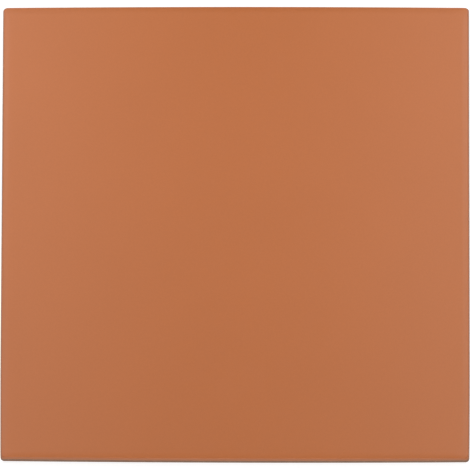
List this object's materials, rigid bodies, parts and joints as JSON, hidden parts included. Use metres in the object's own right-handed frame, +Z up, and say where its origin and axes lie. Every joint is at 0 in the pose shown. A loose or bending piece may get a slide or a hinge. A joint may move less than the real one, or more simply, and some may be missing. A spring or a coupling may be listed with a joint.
{
  "type": "floor tile",
  "caption": "Square pressed ceramic floor tile with a flat satin glazed face, softly cushioned edges, small rounded corners and a keyed waffle back.",
  "frame": {"origin": "middle of the keyed back, on the plane of the rim and ribs that the tile rests on", "axes": "+Z up out of the glazed face, X and Y along the sides, -Y towards the side that the picture shows nearest"},
  "size_m": [0.2, 0.2, 0.007],
  "materials": {
    "terracotta_glaze": "satin"
  },
  "bodies": {
    "root": {"floor_tile": "terracotta_glaze"}
  },
  "joints": []
}
